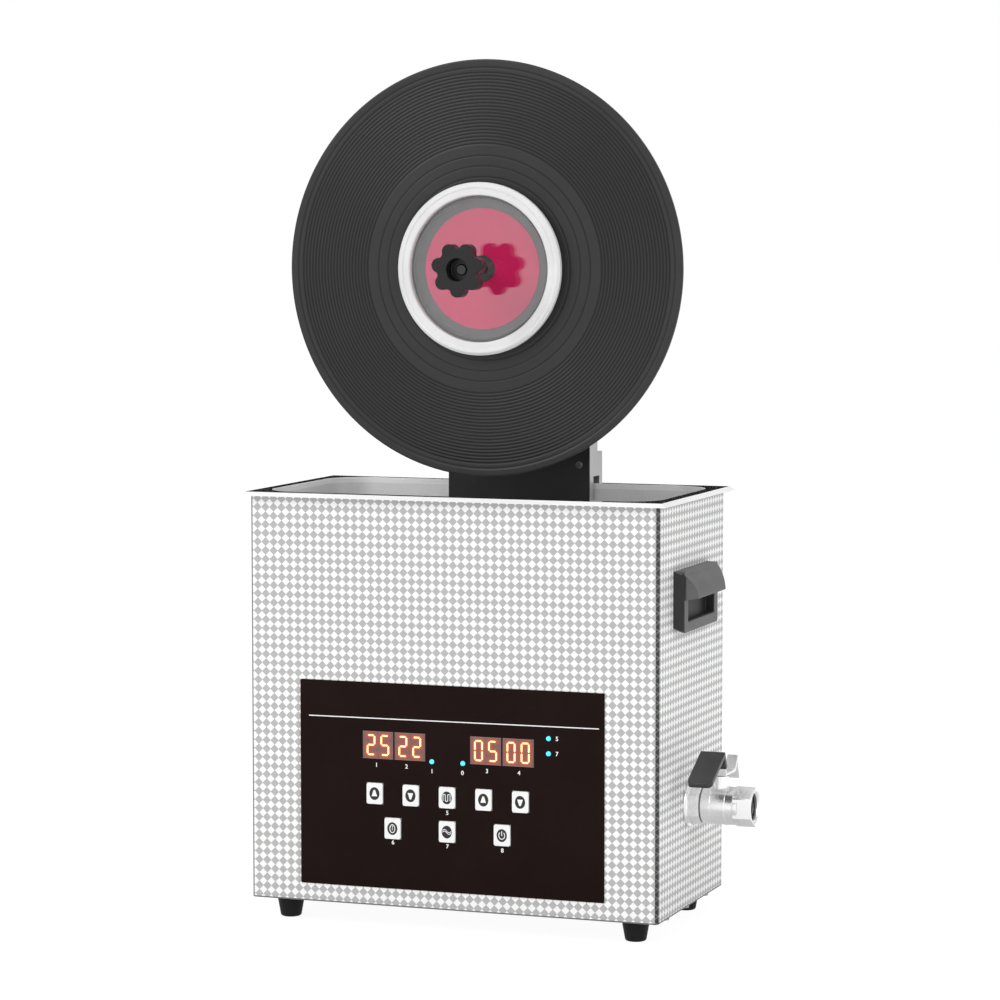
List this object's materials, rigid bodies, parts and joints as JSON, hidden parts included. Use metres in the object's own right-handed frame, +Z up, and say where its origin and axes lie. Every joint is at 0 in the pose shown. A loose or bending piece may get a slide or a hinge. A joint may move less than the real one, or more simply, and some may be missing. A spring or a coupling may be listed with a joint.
{
  "type": "ultrasonic record cleaning machine",
  "caption": "Bench-top ultrasonic tank with a front key panel, side drain valve and a motor rack on its rear rim that turns one clamped record.",
  "frame": {"origin": "on the floor plane under the middle of the cabinet", "axes": "+X to the right as the user faces the panel, -Y towards the user, +Z up"},
  "size_m": [0.3736, 0.2238, 0.6205],
  "materials": {
    "cabinet_sheet": "satin light grey sheet with a fine printed diamond pattern",
    "tank_steel": "satin drawn stainless sheet",
    "base_sheet": "plain zinc-plated sheet",
    "foot_rubber": "matt black",
    "plated_screw": "zinc plated",
    "handle_plastic": "fine grained dark grey",
    "panel_film": "dark brown printed film",
    "circuit_board": "green lacquer",
    "brass_post": "turned",
    "display_window": "smoked window with glowing orange digits",
    "indicator_lens": "glowing cyan lens",
    "switch_plastic": "moulded black",
    "key_white": "smooth white",
    "pipe_steel": "satin",
    "valve_metal": "satin bright nickel",
    "seal_ring": "smooth black",
    "lever_steel": "zinc plated",
    "sleeve_black": "dipped black sleeve",
    "horn_alloy": "turned",
    "ceramic": "cream fired ceramic",
    "heater_mat": "orange silicone",
    "power_board_parts": "board and parts",
    "inlet_black": "moulded black",
    "rocker_red": "red",
    "fuse_glass": "clear tube with plated caps",
    "rack_alloy": "satin light grey",
    "rack_black": "satin black",
    "pad_rubber": "matt black",
    "screw_black": "dark oxide",
    "hand_screw": "fine grained black",
    "carriage_alloy": "anodised grey",
    "motor_case": "fine grained black",
    "keeper_grey": "anodised dark grey",
    "motor_steel": "plated can",
    "shoe_brass": "turned",
    "spindle_steel": "ground",
    "record_vinyl": "glossy with fine circular grooves",
    "ring_white": "smooth white soft plastic",
    "disc_grey": "satin dark grey",
    "label_crimson": "crimson, plain",
    "clear_cover": "clear polished sheet",
    "sleeve_grey": "satin",
    "knob_black": "fine grained black"
  },
  "bodies": {
    "machine": {"housing": "cabinet_sheet", "tank": "tank_steel", "base_plate": "base_sheet", "feet": "foot_rubber", "cabinet_screws": "plated_screw", "handles": "handle_plastic", "control_panel": "panel_film", "control_board": "circuit_board", "board_standoffs": "brass_post", "displays": "display_window", "indicator_lights": "indicator_lens", "key_switches": "switch_plastic", "drain_elbow": "pipe_steel", "wall_nut": "valve_metal", "valve_body": "valve_metal", "valve_end": "valve_metal", "valve_seals": "seal_ring", "transducer_horns": "horn_alloy", "transducer_rings": "ceramic", "transducer_backs": "base_sheet", "heater": "heater_mat", "power_board": "power_board_parts", "inlet_module": "inlet_black", "rack_board": "rack_alloy", "rack_plate": "rack_black", "rack_column": "rack_alloy", "rim_pads": "pad_rubber", "rack_screws": "screw_black"},
    "carriage": {"carriage": "carriage_alloy", "motor_box": "motor_case", "keeper_plate": "keeper_grey", "motor": "motor_steel"},
    "spindle": {"spindle": "spindle_steel", "record": "record_vinyl", "seal_rings": "ring_white", "clamp_discs": "disc_grey", "label_disc": "label_crimson", "front_cover": "clear_cover"},
    "clamp_sleeve": {"clamp_sleeve": "sleeve_grey"},
    "knob": {"knob": "knob_black"},
    "lock_shoe": {"lock_shoe": "shoe_brass"},
    "lock_knob": {"lock_knob": "hand_screw"},
    "clamp_pad": {"clamp_pad": "pad_rubber"},
    "clamp_screw": {"clamp_screw": "hand_screw"},
    "valve_lever": {"valve_ball": "valve_metal", "valve_stem": "pipe_steel", "lever": "lever_steel", "lever_sleeve": "sleeve_black", "lever_nut": "plated_screw"},
    "rocker_switch": {"rocker_switch": "rocker_red"},
    "fuse_drawer": {"fuse_drawer": "inlet_black", "fuse": "fuse_glass"},
    "key_heat_up": {"key_heat_up": "key_white"},
    "key_heat_down": {"key_heat_down": "key_white"},
    "key_degas": {"key_degas": "key_white"},
    "key_time_up": {"key_time_up": "key_white"},
    "key_time_down": {"key_time_down": "key_white"},
    "key_heat": {"key_heat": "key_white"},
    "key_gentle": {"key_gentle": "key_white"},
    "key_power": {"key_power": "key_white"}
  },
  "joints": [
    {"name": "lift_slide", "type": "slide", "parent": "machine", "child": "carriage", "axis": [0, 0, 1], "range_m": [-0.085, 0]},
    {"name": "spindle_spin", "type": "hinge", "parent": "carriage", "child": "spindle", "pos_m": [0, 0, 0.4705], "axis": [0, -1, 0], "continuous": true},
    {"name": "sleeve_slide", "type": "slide", "parent": "spindle", "child": "clamp_sleeve", "axis": [0, -1, 0], "range_m": [0, 0.00601]},
    {"name": "knob_turn", "type": "hinge", "parent": "clamp_sleeve", "child": "knob", "pos_m": [0, -0.06, 0.4705], "axis": [0, -1, 0], "range_deg": [0, 2160]},
    {"name": "lock_slide", "type": "slide", "parent": "carriage", "child": "lock_shoe", "axis": [0, 1, 0], "range_m": [0, 0.00151]},
    {"name": "lock_turn", "type": "hinge", "parent": "lock_shoe", "child": "lock_knob", "pos_m": [0.03, 0.13, 0.437], "axis": [0, 1, 0], "range_deg": [0, 540]},
    {"name": "clamp_slide", "type": "slide", "parent": "machine", "child": "clamp_pad", "axis": [0, 1, 0], "range_m": [0, 0.00301]},
    {"name": "clamp_turn", "type": "hinge", "parent": "clamp_pad", "child": "clamp_screw", "pos_m": [0, 0.1, 0.283], "axis": [0, 1, 0], "range_deg": [0, 1080]},
    {"name": "valve_turn", "type": "hinge", "parent": "machine", "child": "valve_lever", "pos_m": [0.1774, -0.0047, 0.09], "axis": [0, 0, 1], "range_deg": [0, 90]},
    {"name": "key_heat_up_press", "type": "slide", "parent": "machine", "child": "key_heat_up", "axis": [0, 1, 0], "range_m": [0, 0.0006], "stiffness_N_per_m": 1200},
    {"name": "key_heat_down_press", "type": "slide", "parent": "machine", "child": "key_heat_down", "axis": [0, 1, 0], "range_m": [0, 0.0006], "stiffness_N_per_m": 1200},
    {"name": "key_degas_press", "type": "slide", "parent": "machine", "child": "key_degas", "axis": [0, 1, 0], "range_m": [0, 0.0006], "stiffness_N_per_m": 1200},
    {"name": "key_time_up_press", "type": "slide", "parent": "machine", "child": "key_time_up", "axis": [0, 1, 0], "range_m": [0, 0.0006], "stiffness_N_per_m": 1200},
    {"name": "key_time_down_press", "type": "slide", "parent": "machine", "child": "key_time_down", "axis": [0, 1, 0], "range_m": [0, 0.0006], "stiffness_N_per_m": 1200},
    {"name": "key_heat_press", "type": "slide", "parent": "machine", "child": "key_heat", "axis": [0, 1, 0], "range_m": [0, 0.0006], "stiffness_N_per_m": 1200},
    {"name": "key_gentle_press", "type": "slide", "parent": "machine", "child": "key_gentle", "axis": [0, 1, 0], "range_m": [0, 0.0006], "stiffness_N_per_m": 1200},
    {"name": "key_power_press", "type": "slide", "parent": "machine", "child": "key_power", "axis": [0, 1, 0], "range_m": [0, 0.0006], "stiffness_N_per_m": 1200},
    {"name": "rocker_tilt", "type": "hinge", "parent": "machine", "child": "rocker_switch", "pos_m": [-0.079, 0.0815, 0.074], "axis": [1, 0, 0], "range_deg": [0, 16]},
    {"name": "fuse_slide", "type": "slide", "parent": "machine", "child": "fuse_drawer", "axis": [0, 1, 0], "range_m": [0, 0.018]}
  ],
  "couplings": [
    {"joint": "sleeve_slide", "follows": "knob_turn", "m_per_rad": 0.00015915},
    {"joint": "lock_slide", "follows": "lock_turn", "m_per_rad": 0.00015915},
    {"joint": "clamp_slide", "follows": "clamp_turn", "m_per_rad": 0.00015915}
  ]
}
